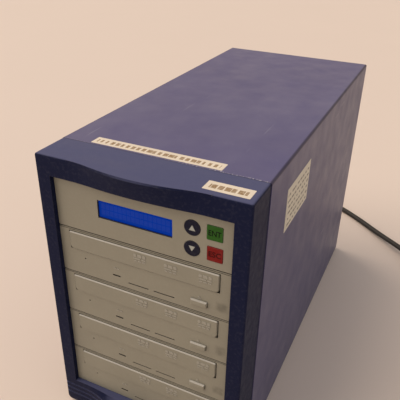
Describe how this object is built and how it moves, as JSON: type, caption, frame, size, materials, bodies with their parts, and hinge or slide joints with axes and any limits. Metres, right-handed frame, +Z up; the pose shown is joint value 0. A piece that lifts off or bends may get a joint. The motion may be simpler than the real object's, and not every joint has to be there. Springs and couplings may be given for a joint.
{
  "type": "disc duplicator tower",
  "caption": "Desktop tower that copies optical discs: steel case, swelled front bezel, control panel with display and keys, stacked tray-loading drives, rear fans, mains lead.",
  "frame": {"origin": "on the table, under the middle of the case (mains lead left out)", "axes": "+Z up, -Y out of the drives' faces towards the user, +X to the user's right"},
  "size_m": [0.389, 0.5418, 0.2627],
  "materials": {
    "blue_steel": "satin powder coat",
    "blue_plastic": "satin moulded",
    "bare_steel": "zinc plated",
    "screw_steel": "bright plated",
    "foot_rubber": "matte",
    "beige_plastic": "fine texture",
    "tray_plastic": "fine texture",
    "loader_plastic": "matte",
    "light_guide": "gloss",
    "cable_grey": "matte",
    "key_navy": "satin",
    "key_green": "satin",
    "key_red": "satin",
    "display_blue": "gloss",
    "circuit_board": "solder mask",
    "fan_black": "satin",
    "supply_steel": "zinc plated",
    "inlet_black": "satin",
    "cord_black": "satin"
  },
  "bodies": {
    "case": {"outer_cover": "blue_steel", "chassis_base": "bare_steel", "front_frame": "bare_steel", "rear_panel": "bare_steel", "rubber_feet": "foot_rubber", "rear_screws": "screw_steel", "front_bezel": "blue_plastic", "drive_cage": "bare_steel", "drive_lights": "light_guide", "drive_cables": "cable_grey", "control_panel": "beige_plastic", "display": "display_blue", "controller_boards": "circuit_board", "controller_bracket": "bare_steel", "case_fan_frame": "fan_black", "supply_fan_frame": "fan_black", "fan_guard": "screw_steel", "supply_case": "supply_steel", "supply_circuit": "circuit_board", "power_inlet": "inlet_black", "switch_housing": "inlet_black", "power_connector": "cord_black", "power_cord": "cord_black", "power_cord_coil": "cord_black", "power_plug": "cord_black", "drive_housing_1": "bare_steel", "drive_bezel_1": "beige_plastic", "loader_1": "loader_plastic", "drive_housing_2": "bare_steel", "drive_bezel_2": "beige_plastic", "loader_2": "loader_plastic", "drive_housing_3": "bare_steel", "drive_bezel_3": "beige_plastic", "loader_3": "loader_plastic", "drive_housing_4": "bare_steel", "drive_bezel_4": "beige_plastic", "loader_4": "loader_plastic"},
    "tray_1": {"tray_1": "tray_plastic", "tray_door_1": "beige_plastic"},
    "tray_2": {"tray_2": "tray_plastic", "tray_door_2": "beige_plastic"},
    "tray_3": {"tray_3": "tray_plastic", "tray_door_3": "beige_plastic"},
    "tray_4": {"tray_4": "tray_plastic", "tray_door_4": "beige_plastic"},
    "eject_button_1": {"eject_button_1": "beige_plastic"},
    "eject_button_2": {"eject_button_2": "beige_plastic"},
    "eject_button_3": {"eject_button_3": "beige_plastic"},
    "eject_button_4": {"eject_button_4": "beige_plastic"},
    "key_up": {"key_up": "key_navy"},
    "key_down": {"key_down": "key_navy"},
    "key_enter": {"key_enter": "key_green"},
    "key_escape": {"key_escape": "key_red"},
    "turntable_1": {"turntable_1": "loader_plastic"},
    "turntable_2": {"turntable_2": "loader_plastic"},
    "turntable_3": {"turntable_3": "loader_plastic"},
    "turntable_4": {"turntable_4": "loader_plastic"},
    "case_fan_rotor": {"case_fan_rotor": "fan_black"},
    "supply_fan_rotor": {"supply_fan_rotor": "fan_black"},
    "switch_rocker": {"switch_rocker": "inlet_black"}
  },
  "joints": [
    {"name": "tray_1_slide", "type": "slide", "parent": "case", "child": "tray_1", "axis": [0, -1, 0], "range_m": [0, 0.14]},
    {"name": "tray_2_slide", "type": "slide", "parent": "case", "child": "tray_2", "axis": [0, -1, 0], "range_m": [0, 0.14]},
    {"name": "tray_3_slide", "type": "slide", "parent": "case", "child": "tray_3", "axis": [0, -1, 0], "range_m": [0, 0.14]},
    {"name": "tray_4_slide", "type": "slide", "parent": "case", "child": "tray_4", "axis": [0, -1, 0], "range_m": [0, 0.14]},
    {"name": "eject_button_1_press", "type": "slide", "parent": "case", "child": "eject_button_1", "axis": [0, 1, 0], "range_m": [0, 0.001], "stiffness_N_per_m": 300, "springref_m": -0.0005},
    {"name": "eject_button_2_press", "type": "slide", "parent": "case", "child": "eject_button_2", "axis": [0, 1, 0], "range_m": [0, 0.001], "stiffness_N_per_m": 300, "springref_m": -0.0005},
    {"name": "eject_button_3_press", "type": "slide", "parent": "case", "child": "eject_button_3", "axis": [0, 1, 0], "range_m": [0, 0.001], "stiffness_N_per_m": 300, "springref_m": -0.0005},
    {"name": "eject_button_4_press", "type": "slide", "parent": "case", "child": "eject_button_4", "axis": [0, 1, 0], "range_m": [0, 0.001], "stiffness_N_per_m": 300, "springref_m": -0.0005},
    {"name": "key_up_press", "type": "slide", "parent": "case", "child": "key_up", "axis": [0, 1, 0], "range_m": [0, 0.0006], "stiffness_N_per_m": 300, "springref_m": -0.0004},
    {"name": "key_down_press", "type": "slide", "parent": "case", "child": "key_down", "axis": [0, 1, 0], "range_m": [0, 0.0006], "stiffness_N_per_m": 300, "springref_m": -0.0004},
    {"name": "key_enter_press", "type": "slide", "parent": "case", "child": "key_enter", "axis": [0, 1, 0], "range_m": [0, 0.0006], "stiffness_N_per_m": 300, "springref_m": -0.0004},
    {"name": "key_escape_press", "type": "slide", "parent": "case", "child": "key_escape", "axis": [0, 1, 0], "range_m": [0, 0.0006], "stiffness_N_per_m": 300, "springref_m": -0.0004},
    {"name": "turntable_1_spin", "type": "hinge", "parent": "case", "child": "turntable_1", "pos_m": [0, -0.1138, 0.1775], "axis": [0, 0, 1], "continuous": true},
    {"name": "turntable_2_spin", "type": "hinge", "parent": "case", "child": "turntable_2", "pos_m": [0, -0.1138, 0.135], "axis": [0, 0, 1], "continuous": true},
    {"name": "turntable_3_spin", "type": "hinge", "parent": "case", "child": "turntable_3", "pos_m": [0, -0.1138, 0.0925], "axis": [0, 0, 1], "continuous": true},
    {"name": "turntable_4_spin", "type": "hinge", "parent": "case", "child": "turntable_4", "pos_m": [0, -0.1138, 0.05], "axis": [0, 0, 1], "continuous": true},
    {"name": "case_fan_spin", "type": "hinge", "parent": "case", "child": "case_fan_rotor", "pos_m": [0, 0.1838, 0.176], "axis": [0, 1, 0], "continuous": true},
    {"name": "supply_fan_spin", "type": "hinge", "parent": "case", "child": "supply_fan_rotor", "pos_m": [0.026, 0.1828, 0.047], "axis": [0, 1, 0], "continuous": true},
    {"name": "power_switch_rock", "type": "hinge", "parent": "case", "child": "switch_rocker", "pos_m": [-0.047, 0.1958, 0.064], "axis": [1, 0, 0], "range_deg": [0, 16]}
  ]
}
